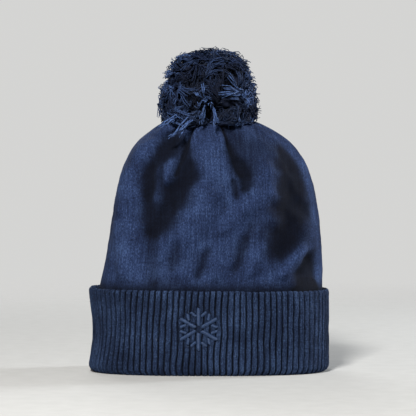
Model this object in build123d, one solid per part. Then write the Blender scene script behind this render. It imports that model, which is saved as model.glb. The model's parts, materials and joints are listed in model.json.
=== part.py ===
from build123d import *
import os
from math import cos, sin, pi, radians

# Pom pom beanie, opened as it sits on a head and standing on its turned-up cuff.
# Millimetres, +Z up. The origin is at the bottom centre of the cuff and the embroidered front faces -Y.

# Driving dimensions
CUFF_HALF_WIDTH = 110.0
CUFF_HALF_DEPTH = 62.5
CUFF_HEIGHT = 75.0
CUFF_WALL = 3.2            # two plies of rib knit
CUFF_BOTTOM_INSET = 4.0    # how far the rounded bottom fold draws in
CUFF_FOLD_HEIGHT = 5.0

CROWN_HALF_WIDTH = 102.5
CROWN_HALF_DEPTH = 57.0
CROWN_START_Z = 75.0       # the dome begins at the top of the cuff
CROWN_APEX_Z = 234.5
CROWN_TAPER = 0.175        # how much the sides draw in before the dome closes
CROWN_SHOULDER = 6.0       # power of the dome curve: higher means squarer shoulders
CROWN_LEAN = 6.4           # the crown leans this far to +X between the link seam and the apex
LEAN_POWER = 1.2           # above 1 the lean comes in later as the crown rises

SHELL_PLY = 1.6
PLY_GAP = 1.2
LINING_PLY = 1.4
SEAM_Z = 60.0              # where the crown is linked to the cuff, behind the turn-up
SEAM_THREAD = 0.7
CLEAR = 0.15               # between neighbours in one body
SECTION_POWER = 2.6        # superellipse of every level section: 2 is an ellipse
SECTION_POINTS = 28

HOLE_RADIUS = 2.8          # gathered hole at the apex, filled by the tie
DART_TOP = (10.0, 228.0)   # x from the darts' centre line, and z
DART_BOTTOM = (29.5, 179.0)
DART_CENTRE_X = -1.0
BACK_SEAM_TOP_Z = 226.0
GATHER_RADIUS = 4.2
GATHER_THREAD = 0.35
DISC_RADIUS = 9.0
DISC_HOLE_RADIUS = 3.2
DISC_THICK = 1.5
DISC_TOP_Z = 228.8

INNER_WALL_TOP = SEAM_Z - 2.0
INNER_WALL = 3.0
BACK_SEAM_LENGTH = 62.0
BACK_SEAM_Z = 41.0

POM_RADIUS = 46.0
POM_CENTRE_Z = 250.0
POM_SQUARENESS = 2.6       # power of the ball's outline: 2 is a true circle
PIVOT_Z = 232.0            # the pom flops about the tie where it passes the knit
SOCKET_RADIUS = 8.4
CAP_RADIUS = 8.0
TIE_RADIUS = 1.5
KNOT_RADIUS = 4.5
KNOT_Z = 222.0
CAP_BASE_Z = 236.2
BINDING_RING = 5.0
BINDING_CORD = 1.3
UNDERSIDE_Z = 236.6        # the ball's hollowed underside, at its middle
UNDERSIDE_RISE = 0.13      # how much that underside climbs outwards
UNDERSIDE_RIM = 60.0

MOTIF_Z = 42.0
MOTIF_X = -9.0
MOTIF_ARM = 19.0
MOTIF_BAR = 3.0
MOTIF_BARB = 2.4
MOTIF_GAP = 3.2            # open centre, and the gap between an arm and its barbs
BARB_JOINT = 0.5           # share of the arm at which its barbs start
BARB_REACH = 9.0
BARB_TURN = 50.0           # degrees from the arm
MOTIF_RAISED = 0.6
MOTIF_SUNK = 0.6
BACKING_HALF_WIDTH = 26.0
BACKING_HALF_HEIGHT = 24.0
BACKING_THICK = 0.4

LABEL_WIDTH = 28.0
LABEL_LENGTH = 40.0
LABEL_THICK = 0.8
LABEL_TOP_Z = 57.5
LABEL_Y = CROWN_HALF_DEPTH - INNER_WALL - 0.4 - LABEL_THICK / 2
LABEL_FOLD = 1.5           # height of the folded end below the two leaves
LEAF_GAP = 0.1
STITCH = 1.6
STITCH_PITCH = 3
STITCH_ROW_HALF = 12


# Sections and layers

def section(half_width, half_depth, z, centre_x=0.0):
    """A level superellipse ring as one smooth closed wire."""
    points = []
    for i in range(SECTION_POINTS):
        angle = 2 * pi * i / SECTION_POINTS
        grow = (abs(cos(angle)) ** SECTION_POWER + abs(sin(angle)) ** SECTION_POWER) ** (-1 / SECTION_POWER)
        points.append((centre_x + half_width * grow * cos(angle), half_depth * grow * sin(angle), z))
    return Wire([Edge.make_spline([Vector(*p) for p in points], periodic=True)])


def lean_at(z):
    """Sideways lean of the crown: none at the link seam and at the apex, nearly even between."""
    share = min(max((z - SEAM_Z) / (CROWN_APEX_Z - SEAM_Z), 0.0), 1.0)
    return CROWN_LEAN * (1 - abs(2 * share ** LEAN_POWER - 1) ** 3)


def dome_heights():
    """Shares of the dome's height for its rings, closer together towards the apex."""
    return [0.0, 0.25, 0.45, 0.6, 0.72, 0.82, 0.89, 0.94, 0.97, 0.988, 0.9975]


def crown_body(inset, bottom_z=SEAM_Z):
    """The solid inside the crown's outer face, drawn in by inset all over."""
    apex_z = CROWN_APEX_Z - inset
    half_width = CROWN_HALF_WIDTH - inset
    half_depth = CROWN_HALF_DEPTH - inset
    rings = [section(half_width, half_depth, bottom_z)]
    for share in dome_heights():
        draw_in = (1 - CROWN_TAPER * share) * (1 - share ** CROWN_SHOULDER) ** 0.5
        z = CROWN_START_Z + share * (apex_z - CROWN_START_Z)
        rings.append(section(half_width * draw_in, half_depth * draw_in, z, lean_at(z)))
    return Solid.make_loft(rings)


def crown_layer(outer_inset, inner_inset, bottom_z=SEAM_Z):
    """One ply of the crown between two insets, open at the bottom."""
    hollow = crown_body(inner_inset, bottom_z)
    return crown_body(outer_inset, bottom_z) - hollow


def cuff_body(inset, bottom_z, top_z):
    """The solid inside the turned-up wall's outer face, with its rounded bottom."""
    half_width = CUFF_HALF_WIDTH - inset
    half_depth = CUFF_HALF_DEPTH - inset
    rings = []
    for share in (0.0, 0.1, 0.3, 0.6, 1.0):
        draw_in = CUFF_BOTTOM_INSET * (1 - (1 - (1 - share) ** 2) ** 0.5)
        rings.append(section(half_width - draw_in, half_depth - draw_in, bottom_z + share * CUFF_FOLD_HEIGHT))
    rings.append(section(half_width, half_depth, top_z))
    return Solid.make_loft(rings, ruled=True)


def straight_ring(half_width, half_depth, wall, bottom_z, top_z):
    """A plain upright ring."""
    outer = Solid.make_loft([section(half_width, half_depth, z) for z in (bottom_z, top_z)])
    hollow = [section(half_width - wall, half_depth - wall, z) for z in (bottom_z - 1, top_z + 1)]
    return outer - Solid.make_loft(hollow)


def slab(points, y_from, y_to):
    """An XZ outline extruded along Y."""
    outline = Face(Wire.make_polygon([Vector(x, y_from, z) for x, z in points]))
    return Solid.extrude(outline, Vector(0, y_to - y_from, 0))


def strip(start, end, width):
    """The four corners of a straight strip of this width in the XZ plane."""
    dx, dz = end[0] - start[0], end[1] - start[1]
    length = (dx * dx + dz * dz) ** 0.5
    across = (-dz / length * width / 2, dx / length * width / 2)
    return [
        (start[0] + across[0], start[1] + across[1]),
        (end[0] + across[0], end[1] + across[1]),
        (end[0] - across[0], end[1] - across[1]),
        (start[0] - across[0], start[1] - across[1]),
    ]


def cylinder(radius, bottom_z, top_z):
    return Pos(0, 0, (bottom_z + top_z) / 2) * Cylinder(radius, top_z - bottom_z)


def ball(radius, z):
    return Pos(0, 0, z) * Sphere(radius)


# Crown

def crown_shell():
    return crown_layer(0, SHELL_PLY) - cylinder(HOLE_RADIUS, SEAM_Z, CROWN_APEX_Z + 5)


def crown_lining():
    inset = SHELL_PLY + PLY_GAP
    return crown_layer(inset, inset + LINING_PLY) - cylinder(HOLE_RADIUS, SEAM_Z, CROWN_APEX_Z)


def seam_layer():
    """The thin layer between the plies that holds the seam threads."""
    inset = SHELL_PLY + (PLY_GAP - SEAM_THREAD) / 2
    return crown_layer(inset, inset + SEAM_THREAD)


def dart_seam(layer, side, front):
    """A dart's seam: side is -1 left or 1 right, front is -1 at the front or 1 at the back."""
    top = (DART_CENTRE_X + side * DART_TOP[0], DART_TOP[1])
    bottom = (DART_CENTRE_X + side * DART_BOTTOM[0], DART_BOTTOM[1])
    return layer & slab(strip(top, bottom, SEAM_THREAD), front * 5.0, front * (CROWN_HALF_DEPTH + 5))


def crown_back_seam(layer):
    line = strip((0.0, SEAM_Z + 3), (0.0, BACK_SEAM_TOP_Z), SEAM_THREAD)
    return layer & slab(line, 5.0, CROWN_HALF_DEPTH + 5)


def apex_gather_thread():
    """A ring of thread between the plies, a little below the middle of their gap."""
    gap_middle = CROWN_APEX_Z - SHELL_PLY - PLY_GAP / 2 - 0.4
    return Pos(0, 0, gap_middle) * Torus(GATHER_RADIUS, GATHER_THREAD)


def apex_backing_disc():
    disc = cylinder(DISC_RADIUS, DISC_TOP_Z - DISC_THICK, DISC_TOP_Z)
    return disc - cylinder(DISC_HOLE_RADIUS, DISC_TOP_Z - 2, DISC_TOP_Z + 1)


# Cuff

def rib_cuff():
    """One band: the inner wall, the bottom fold and the turned-up outer wall."""
    turn_up = cuff_body(0, 0, CUFF_HEIGHT) - cuff_body(CUFF_WALL, CUFF_WALL, CUFF_HEIGHT + 1)
    inner = straight_ring(CROWN_HALF_WIDTH, CROWN_HALF_DEPTH, INNER_WALL, CUFF_WALL, INNER_WALL_TOP)
    head = Solid.make_loft([
        section(CROWN_HALF_WIDTH - INNER_WALL, CROWN_HALF_DEPTH - INNER_WALL, z) for z in (-1, CUFF_HEIGHT + 2)
    ])
    band = (turn_up + inner) - head
    return band - motif_bars(CLEAR)


def cuff_link_seam():
    """The linking thread between the top of the inner wall and the bottom of the crown's plies."""
    inset = 0.4
    wall = SHELL_PLY + PLY_GAP
    bottom_z, top_z = INNER_WALL_TOP + CLEAR, SEAM_Z - CLEAR
    return straight_ring(CROWN_HALF_WIDTH - inset, CROWN_HALF_DEPTH - inset, wall, bottom_z, top_z)


def cuff_back_seam():
    """Closes the band behind the turn-up, in the gap between its two walls."""
    inner_face = CUFF_HALF_DEPTH - CUFF_WALL
    seam = Box(SEAM_THREAD * 2, SEAM_THREAD, BACK_SEAM_LENGTH)
    return Pos(0, inner_face - CLEAR - SEAM_THREAD / 2, BACK_SEAM_Z) * seam


# Embroidery

def ray(start, angle, length):
    """The point at this distance from start, along an angle from +X."""
    return (start[0] + length * cos(angle), start[1] + length * sin(angle))


def motif_lines():
    """A six-armed star: each bar's start, end and width, the arms first and then two barbs for each."""
    arms = []
    barbs = []
    for arm in range(6):
        angle = radians(90 + 60 * arm)
        arms.append((ray((0, 0), angle, MOTIF_GAP), ray((0, 0), angle, MOTIF_ARM), MOTIF_BAR))
        joint = ray((0, 0), angle, BARB_JOINT * MOTIF_ARM)
        for turn in (-1, 1):
            barb = angle + turn * radians(BARB_TURN)
            barbs.append((ray(joint, barb, MOTIF_GAP), ray(joint, barb, BARB_REACH), MOTIF_BARB))
    return arms + barbs


def motif_bars(margin):
    """Slabs through the cuff's front for every bar of the motif, wider by margin all round."""
    bars = []
    for start, end, width in motif_lines():
        shifted = [(MOTIF_X + p[0], MOTIF_Z + p[1]) for p in (start, end)]
        bars.append(slab(strip(*shifted, width + 2 * margin), -CUFF_HALF_DEPTH - 3, -CUFF_HALF_DEPTH + 3))
    return bars


def face_layer(outer_inset, inner_inset):
    """A layer that follows the turned-up wall's front."""
    outer = cuff_body(outer_inset, 0, CUFF_HEIGHT)
    return outer - cuff_body(inner_inset, -1, CUFF_HEIGHT + 1)


def embroidery_motif():
    raised = face_layer(-MOTIF_RAISED, MOTIF_SUNK)
    return Compound([solid for bar in motif_bars(0) for solid in (raised & bar).solids()])


def embroidery_backing():
    behind = face_layer(CUFF_WALL + CLEAR, CUFF_WALL + CLEAR + BACKING_THICK)
    bottom, top = (MOTIF_X, MOTIF_Z - BACKING_HALF_HEIGHT), (MOTIF_X, MOTIF_Z + BACKING_HALF_HEIGHT)
    return behind & slab(strip(bottom, top, 2 * BACKING_HALF_WIDTH), -CUFF_HALF_DEPTH - 3, 0)


# Care label

def care_label():
    """A tape folded in half, hanging inside the back."""
    tape = Box(LABEL_WIDTH, LABEL_THICK, LABEL_LENGTH)
    fold_gap = Pos(0, 0, LABEL_FOLD) * Box(LABEL_WIDTH + 2, LEAF_GAP, LABEL_LENGTH)
    return Pos(0, LABEL_Y, LABEL_TOP_Z - LABEL_LENGTH / 2) * (tape - fold_gap)


def care_label_stitches():
    """A row of stitches that ties the label's top edge to the link seam."""
    centre_z = LABEL_TOP_Z + STITCH / 2 + 0.65
    stitches = []
    for x in range(-STITCH_ROW_HALF, STITCH_ROW_HALF + 1, STITCH_PITCH):
        stitches += (Pos(x, LABEL_Y + 0.1, centre_z) * Box(STITCH, 0.6, STITCH)).solids()
    return Compound(stitches)


# Pom and its tie

def tie_loop():
    """The tie: a wrapped cap above the knit and the doubled yarn that goes down to the knot."""
    cap = ball(CAP_RADIUS, PIVOT_Z) - Pos(0, 0, CAP_BASE_Z - 20) * Box(40, 40, 40)
    return cap + cylinder(TIE_RADIUS, KNOT_Z, CAP_BASE_Z + 1)


def tie_knot():
    return ball(KNOT_RADIUS, KNOT_Z) - cylinder(TIE_RADIUS, KNOT_Z, KNOT_Z + 10)


def trimmed_ball():
    """A slightly squared ball of revolution about the vertical."""
    outline = []
    for i in range(13):
        angle = pi / 2 - pi * i / 12
        power = POM_SQUARENESS
        grow = POM_RADIUS * (abs(cos(angle)) ** power + abs(sin(angle)) ** power) ** (-1 / power)
        outline.append(Vector(max(grow * cos(angle), 0), 0, grow * sin(angle)))
    curve = Edge.make_spline(outline, tangents=[Vector(1, 0, 0), Vector(-1, 0, 0)])
    half = Face(Wire([curve, Edge.make_line(outline[-1], outline[0])]))
    return Pos(0, 0, POM_CENTRE_Z) * Solid.revolve(half, 360, Axis.Z)


def pom_yarn():
    """The trimmed ball, hollowed below to clear the crown's top as it flops."""
    climb = UNDERSIDE_RISE * UNDERSIDE_RIM
    below = cylinder(UNDERSIDE_RIM, UNDERSIDE_Z - 100, UNDERSIDE_Z)
    ramp = cylinder(UNDERSIDE_RIM, UNDERSIDE_Z, UNDERSIDE_Z + climb)
    ramp -= Pos(0, 0, UNDERSIDE_Z + climb / 2) * Cone(0.01, UNDERSIDE_RIM, climb)
    pocket = Pos(0, 0, POM_CENTRE_Z) * Torus(BINDING_RING, BINDING_CORD + 0.3)
    return trimmed_ball() - (below + ramp) - ball(SOCKET_RADIUS, PIVOT_Z) - pocket


def pom_binding_cord():
    return Pos(0, 0, POM_CENTRE_Z) * Torus(BINDING_RING, BINDING_CORD)


def write(name, shape):
    export_step(Compound(list(shape.solids())), f"parts/{name}.step")


os.makedirs("parts", exist_ok=True)
seam_room = seam_layer()

write("crown_shell", crown_shell())
write("crown_lining", crown_lining())
write("crown_back_seam", crown_back_seam(seam_room))
for front, face in ((-1, "front"), (1, "back")):
    for side, hand in ((-1, "left"), (1, "right")):
        write(f"dart_seam_{face}_{hand}", dart_seam(seam_room, side, front))
write("apex_gather_thread", apex_gather_thread())
write("apex_backing_disc", apex_backing_disc())
write("rib_cuff", rib_cuff())
write("cuff_link_seam", cuff_link_seam())
write("cuff_back_seam", cuff_back_seam())
write("embroidery_motif", embroidery_motif())
write("embroidery_backing", embroidery_backing())
write("care_label", care_label())
write("care_label_stitches", care_label_stitches())
write("tie_loop", tie_loop())
write("tie_knot", tie_knot())
write("pom_yarn", pom_yarn())
write("pom_binding_cord", pom_binding_cord())
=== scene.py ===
import bpy
import json
import numpy as np
from math import pi, radians
from mathutils import Matrix, Vector
from numpy import cos, exp, hypot, linspace, maximum, sin, sqrt, where


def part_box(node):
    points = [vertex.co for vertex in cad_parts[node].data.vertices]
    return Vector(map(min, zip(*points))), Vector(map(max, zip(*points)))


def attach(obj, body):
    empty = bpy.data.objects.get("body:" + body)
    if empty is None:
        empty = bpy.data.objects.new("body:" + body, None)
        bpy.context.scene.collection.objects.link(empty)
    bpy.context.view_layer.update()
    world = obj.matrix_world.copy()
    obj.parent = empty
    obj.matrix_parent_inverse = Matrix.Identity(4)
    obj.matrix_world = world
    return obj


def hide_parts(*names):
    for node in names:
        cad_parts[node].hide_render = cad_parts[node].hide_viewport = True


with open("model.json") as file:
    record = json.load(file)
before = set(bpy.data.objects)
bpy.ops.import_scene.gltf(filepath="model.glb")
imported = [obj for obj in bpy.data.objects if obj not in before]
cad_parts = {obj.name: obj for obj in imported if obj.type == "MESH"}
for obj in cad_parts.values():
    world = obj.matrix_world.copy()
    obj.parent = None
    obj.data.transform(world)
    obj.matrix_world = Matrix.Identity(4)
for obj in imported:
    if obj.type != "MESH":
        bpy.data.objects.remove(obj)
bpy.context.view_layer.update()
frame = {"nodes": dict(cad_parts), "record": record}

MM = 0.001
CROWN_LOW, CROWN_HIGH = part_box("crown_shell")
CUFF_LOW, CUFF_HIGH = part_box("rib_cuff")
POM_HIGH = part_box("pom_yarn")[1]
LABEL_LOW, LABEL_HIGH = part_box("care_label")
KNOT_LOW, KNOT_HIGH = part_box("tie_knot")
MOTIF_LOW, MOTIF_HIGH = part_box("embroidery_motif")
PIVOT_Z = [j for j in frame["record"]["behaviour"]["joints"] if j["name"] == "pom_nod"][0]["pos_m"][2]

# The same curve family as the CAD: superellipse sections under a dome curve
SECTION_POWER = 2.6
CROWN_TAPER = 0.175
CROWN_SHOULDER = 6.0
CROWN_LEAN = 6.4 * MM
LEAN_POWER = 1.2
SEAM_Z = CROWN_LOW[2]
DOME_START_Z = CUFF_HIGH[2]
APEX_Z = 234.5 * MM
CROWN_HALF_WIDTH = -CROWN_LOW[0]
CROWN_HALF_DEPTH = CROWN_HIGH[1]

RIB_COUNT = 104
RIB_DEPTH = 2.7 * MM
RIB_WALE = 2.7 * MM
RIB_COURSE = 1.7 * MM
WALE_PITCH = 1.45 * MM
COURSE_PITCH = 1.15 * MM
LINING_INSET = 2.8 * MM


# Mesh helpers

def unit(vectors):
    return vectors / maximum(np.linalg.norm(vectors, axis=-1, keepdims=True), 1e-12)


def join(*parts):
    """Points or vectors from their coordinates, each spread to the shape of all."""
    return np.stack(np.broadcast_arrays(*parts), axis=-1)


def length_along(x, y):
    """The length of a line up to each of its points."""
    return np.concatenate([[0], np.cumsum(hypot(np.diff(x), np.diff(y)))])


def put_in_scene(name, data):
    obj = bpy.data.objects.new(name, data)
    bpy.context.scene.collection.objects.link(obj)
    return obj


def make_object(name, vertices, faces, uv=None):
    """A mesh object from arrays; uv has one (u, v) row per face corner."""
    mesh = bpy.data.meshes.new(name)
    mesh.vertices.add(len(vertices))
    mesh.vertices.foreach_set("co", np.asarray(vertices, np.float32).ravel())
    corners = faces.shape[1]
    mesh.loops.add(faces.size)
    mesh.loops.foreach_set("vertex_index", faces.ravel().astype(np.int32))
    mesh.polygons.add(len(faces))
    mesh.polygons.foreach_set("loop_start", np.arange(0, faces.size, corners, dtype=np.int32))
    if uv is not None:
        layer = mesh.uv_layers.new(name="Knit")
        layer.data.foreach_set("uv", np.asarray(uv, np.float32).ravel())
    mesh.update(calc_edges=True)
    mesh.validate()
    mesh.polygons.foreach_set("use_smooth", np.ones(len(mesh.polygons), dtype=bool))
    return put_in_scene(name, mesh)


def grid_faces(rows, columns, wrap_columns=True, wrap_rows=False):
    """Quads of a rows x columns grid of vertices, and each corner's (row, column) before wrapping."""
    r = np.arange(rows if wrap_rows else rows - 1)
    c = np.arange(columns if wrap_columns else columns - 1)
    r, c = np.meshgrid(r, c, indexing="ij")
    r, c = r.ravel(), c.ravel()
    corner_rows = np.stack([r, r, r + 1, r + 1], axis=1)
    corner_columns = np.stack([c, c + 1, c + 1, c], axis=1)
    faces = (corner_rows % rows) * columns + corner_columns % columns
    return faces, corner_rows, corner_columns


def grid_object(name, points, u, v, wrap_rows=False):
    """A surface through a grid of points that closes on itself along its columns. u and v together
    have one more column than points, and one more row if the rows wrap."""
    rows, columns = points.shape[:2]
    u, v = np.broadcast_arrays(u, v)
    faces, corner_rows, corner_columns = grid_faces(rows, columns, True, wrap_rows)
    uv = join(u[corner_rows, corner_columns], v[corner_rows, corner_columns])
    return make_object(name, points.reshape(-1, 3), faces, uv.reshape(-1, 2))


def store_painted_shade(obj, shade):
    """Stores painted shade for each vertex, 0 to 1, by which its material darkens its colour."""
    layer = obj.data.attributes.new("PaintedShade", "FLOAT", "POINT")
    layer.data.foreach_set("value", np.clip(shade, 0, 1).astype(np.float32).ravel())


def grid_normals(points, wrap_rows=False):
    """Unit normals of a grid that closes along its columns, by differences."""
    across = np.roll(points, -1, axis=1) - np.roll(points, 1, axis=1)
    if wrap_rows:
        along = np.roll(points, -1, axis=0) - np.roll(points, 1, axis=0)
    else:
        along = np.gradient(points, axis=0)
    return unit(np.cross(across, along))


def tubes_object(name, centres, radii, sides, shade=None):
    """Many tubes in one mesh. centres is (tubes, rings, 3); radii and painted shade are (tubes, rings)."""
    count, rings = centres.shape[:2]
    along = unit(np.gradient(centres, axis=1))
    helper = where(abs(along[..., 2:3]) < 0.9, [[[0.0, 0.0, 1.0]]], [[[1.0, 0.0, 0.0]]])
    side = unit(np.cross(along, helper))
    up = np.cross(side, along)
    angles = 2 * pi * np.arange(sides) / sides
    ring = (
        side[:, :, None, :] * cos(angles)[:, None]
        + up[:, :, None, :] * sin(angles)[:, None]
    )
    points = centres[:, :, None, :] + ring * radii[:, :, None, None]
    faces, _, _ = grid_faces(rings, sides)
    offsets = (np.arange(count) * rings * sides)[:, None, None]
    obj = make_object(name, points.reshape(-1, 3), (faces[None] + offsets).reshape(-1, 4))
    if shade is not None:
        store_painted_shade(obj, np.repeat(shade[:, :, None], sides, axis=2))
    return obj


def ease(low, high, value):
    """Smooth step from 0 at low to 1 at high."""
    t = np.clip((value - low) / (high - low), 0, 1)
    return t * t * (3 - 2 * t)


def ripple(seed, x, y, size):
    """Repeatable soft noise in -1..1, as a sum of a few waves of about this size."""
    rng = np.random.default_rng(seed)
    total = np.zeros_like(x)
    for _ in range(7):
        angle = rng.uniform(0, 2 * pi)
        wave = 2 * pi / (size * rng.uniform(0.7, 1.5))
        total += sin(wave * (x * cos(angle) + y * sin(angle)) + rng.uniform(0, 2 * pi))
    return total / 3.5


# Sections

def section_xy(angle, half_width, half_depth):
    """The superellipse section's points, by angle."""
    power = SECTION_POWER
    grow = (abs(cos(angle)) ** power + abs(sin(angle)) ** power) ** (-1 / power)
    return half_width * grow * cos(angle), half_depth * grow * sin(angle)


def dome_share(t):
    """The crown's width as a share of its full width, from the cuff's top, t = 0, to the apex, t = 1."""
    return (1 - CROWN_TAPER * t) * sqrt(maximum(1 - t ** CROWN_SHOULDER, 0))


def lean_at(z):
    """How far the crown leans to +X at each height."""
    share = np.clip((z - SEAM_Z) / (APEX_Z - SEAM_Z), 0, 1)
    return CROWN_LEAN * (1 - abs(2 * share ** LEAN_POWER - 1) ** 3)


def arc_table(half_width, half_depth):
    """Angles from the centre back round to itself, and the length of section up to each."""
    angle = linspace(pi / 2, pi / 2 + 2 * pi, 4001)
    x, y = section_xy(angle, half_width, half_depth)
    return angle, length_along(x, y)


# Crown

DART_CENTRE_X = -1.0
DART_TOP = (10.0, 228.0)
DART_BOTTOM = (29.5, 179.0)

# Soft folds: start x, start z, end x, end z, width and height in millimetres; hollows are below zero
FRONT_RIDGES = (
    (-76, 92, -77, 147, 8, 4.6), (-77, 147, -69, 183, 8, 4.8),
    (-69, 183, -52, 207, 7, 4.0), (-34, 190, -38, 175, 5, 3.5),
    (-47, 174, -48, 157, 4, 1.8), (-1, 224, 2, 176, 12, 4.0),
    (2, 176, -8, 132, 12, 4.2), (-18, 138, -22, 112, 8, 3.2),
    (-40, 118, -42, 104, 5, 2.8), (54, 188, 57, 164, 7, 4.0),
    (57, 164, 32, 147, 7.5, 4.4), (32, 147, 13, 128, 7, 3.4),
    (9, 114, 6, 88, 7, 2.8), (48, 114, 38, 90, 6, 2.8),
    (86, 112, 66, 90, 7, 4.2),
)
FRONT_HOLLOWS = (
    (-31, 212, -41, 197, 9, 6.0), (-41, 205, -54, 187, 7, 6.0),
    (-54, 187, -57, 160, 7, 6.2), (-57, 160, -53, 126, 6.5, 5.2),
    (-21, 208, -17, 190, 7, 4.8), (-17, 190, -23, 170, 9, 6.6),
    (-27, 171, -35, 151, 12, 7.0), (-35, 151, -50, 127, 10, 6.8),
    (-43, 188, -43, 171, 3.4, 3.6), (-47, 176, -48, 152, 6, 2.6),
    (-52, 122, -49, 84, 7.5, 2.1), (-54, 86, -28, 84, 6, 1.5),
    (-29, 114, -34, 95, 5.5, 2.5), (-2, 112, -10, 89, 5.5, 2.8),
    (17, 207, 25, 193, 4.5, 3.8), (25, 193, 36, 178, 7, 6.4),
    (36, 178, 33, 167, 6.5, 5.6), (22.5, 174, 25, 159, 3.6, 3.6),
    (11, 154, 13, 145, 6, 2.0), (28, 210, 62, 204, 10, 1.9),
    (70, 203, 76, 182, 11.5, 6.0), (76, 182, 79, 158, 15, 7.4),
    (79, 158, 76, 136, 16, 7.4), (76, 136, 66, 114, 14, 6.8),
    (61, 128, 56, 108, 9, 2.6), (92, 102, 90, 78, 10, 7.4),
    (51, 158, 38, 132, 7, 1.4), (40, 134, 35, 122, 6, 1.8),
    (35, 123, 24, 96, 6, 2.9), (-20, 112, 30, 112, 10, 0.8),
)
BACK_RIDGES = (
    (58, 92, 52, 190, 12, 4.2), (-52, 88, -60, 180, 12, 4.2),
    (6, 215, -6, 136, 13, 3.2), (22, 130, -4, 92, 7, 2.4),
    (-66, 130, -40, 92, 8, 2.6), (78, 140, 90, 92, 9, 2.6),
)
BACK_HOLLOWS = (
    (36, 112, 30, 196, 9, 4.2), (-30, 120, -36, 192, 9, 4.0),
    (74, 190, 80, 130, 11, 3.8), (-24, 112, -12, 84, 6, 2.4),
    (40, 104, 30, 82, 6, 2.4),
)

FOLD_JOIN = 2.5  # above 1, folds that meet run into each other without piling up
HOLLOW_RELIEF = 1.3  # how much deeper the front's hollows are pressed than their list says
DEEPEST_HOLLOW = 8.5  # no hollow is pressed deeper than this, in millimetres
# Painted shade: the crown's hollows, dart creases and the right dart's outer side darken its colour by the
# settings below.
RIDGE_LIGHT = 0.8  # how much of a ridge's height keeps the shade of a hollow off it
SOFT_SPREAD = 1.9  # how much wider than a hollow its soft shade reaches
HOLLOW_SHADE = 2.7  # how dark a hollow is, and the soft shade round it, as powers of e
SOFT_SHADE = 0.75
DART_SHADE = 1.5
FULL_SHADE = 7.0  # the depth in millimetres from which a hollow is no darker
BACK_SHADE = 0.55  # how deep the back's hollows count, beside the front's
BACK_SEAM_DEPTH = 1.3
BACK_SEAM_WIDTH = 1.1
CREASE_WIDTH = 1.3
CREASE_DEPTH = 1.6
DART_STEP = 2.2
GATHERS = 18
GATHER_DEPTH = 0.9
APEX_SHARE = 0.012  # the share of its full width that the crown closes to
CENTRE_DENSITY = 0.45  # columns crowd towards the middle of the front and back, where the darts are


def segment_distance(x, z, x0, z0, x1, z1):
    """Distance from each point to a segment, and how far along it the nearest point lies."""
    dx, dz = x1 - x0, z1 - z0
    along = np.clip(((x - x0) * dx + (z - z0) * dz) / (dx * dx + dz * dz), 0, 1)
    return hypot(x - x0 - along * dx, z - z0 - along * dz), along


def fold_field(x, z, folds, spread=1.0):
    """Height of these folds together, in millimetres, at points given in millimetres.
    Each fold wanders a little and swells in its middle; spread widens them all."""
    x = x + 1.3 * ripple(51, x, z, 46) + 0.8 * ripple(52, x, z, 17)
    z = z + 2.0 * ripple(53, x, z, 50)
    height = np.zeros_like(x)
    for x0, z0, x1, z1, width, rise in folds:
        distance, along = segment_distance(x, z, x0, z0, x1, z1)
        swell = spread * (0.7 + 0.45 * sin(pi * along))
        height += (rise * exp(-((distance / (width * swell)) ** 2))) ** FOLD_JOIN
    return height ** (1 / FOLD_JOIN)


def dart_ends(side):
    """The top and bottom, as (x, z), of the dart left (-1) or right (1) of the middle panel."""
    return [(DART_CENTRE_X + side * x, z) for x, z in (DART_TOP, DART_BOTTOM)]


def dart_field(x, z):
    """The two darts of one face: how far each presses in at its crease, and how far its outer side
    steps down, both as shares."""
    crease = np.zeros_like(x)
    step = np.zeros_like(x)
    for side in (-1, 1):
        (top_x, top_z), (end_x, end_z) = dart_ends(side)
        distance, along = segment_distance(x, z, top_x, top_z, end_x, end_z)
        crease += (1 - 0.5 * along ** 3) * exp(-((distance / CREASE_WIDTH) ** 1.5))
        line_x = top_x + (end_x - top_x) * (z - top_z) / (end_z - top_z)
        outside = (x - line_x) * side
        reach = ease(end_z - 8, end_z + 14, z)
        step += ease(-1.0, 1.6, outside) * exp(-maximum(outside, 0) / 14) * reach
    return crease, step


def crown_profile(inset, rows):
    """Evenly spaced rows from the link seam to the apex: height, share of full width, and length so far."""
    t = np.concatenate([linspace(0, 0.9, 300), 1 - 0.1 * linspace(1, 0, 500)[1:] ** 2])
    z = DOME_START_Z + t * (APEX_Z - inset - DOME_START_Z)
    z = np.concatenate([[SEAM_Z], z])
    share = np.concatenate([[1.0], dome_share(t)])
    half_width = CROWN_HALF_WIDTH - inset
    length = np.concatenate([[0], np.cumsum(hypot(np.diff(z), half_width * np.diff(share)))])
    even = linspace(0, length[-1], rows)
    return np.interp(even, length, z), np.interp(even, length, share), even


def crown_base(inset, rows, columns):
    """One ply's smooth shape. Returns its points, each column's angle and length round from the centre
    back, how far each column faces front, from 0 to 1, and the knit's u and v."""
    half_width = CROWN_HALF_WIDTH - inset
    half_depth = CROWN_HALF_DEPTH - inset
    angles, lengths = arc_table(half_width, half_depth)
    round_length = lengths[-1]
    even = linspace(0, 1, columns + 1)
    around = round_length * (even - CENTRE_DENSITY * sin(4 * pi * even) / (4 * pi))
    angle = np.interp(around[:-1], lengths, angles)
    z, share, v_base = crown_profile(inset, rows)
    ring_x, ring_y = section_xy(angle, half_width, half_depth)
    closing = maximum(share, APEX_SHARE)
    points = join(lean_at(z)[:, None] + closing[:, None] * ring_x, closing[:, None] * ring_y, z[:, None])
    facing = ease(-0.35, 0.35, -ring_y / half_depth)
    u = (around / round_length - 0.5) * (closing * round_length)[:, None]
    return points, angle, around[:-1], facing, u, v_base[:, None]


def hollows(x, z, raised, facing, spread=1.0):
    """How deep the hollows count as painted shade, where ridges keep some of it off the front."""
    front = maximum(fold_field(x, z, FRONT_HOLLOWS, spread) - raised, 0)
    return front * facing + fold_field(x, z, BACK_HOLLOWS, spread) * (1 - facing)


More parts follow.
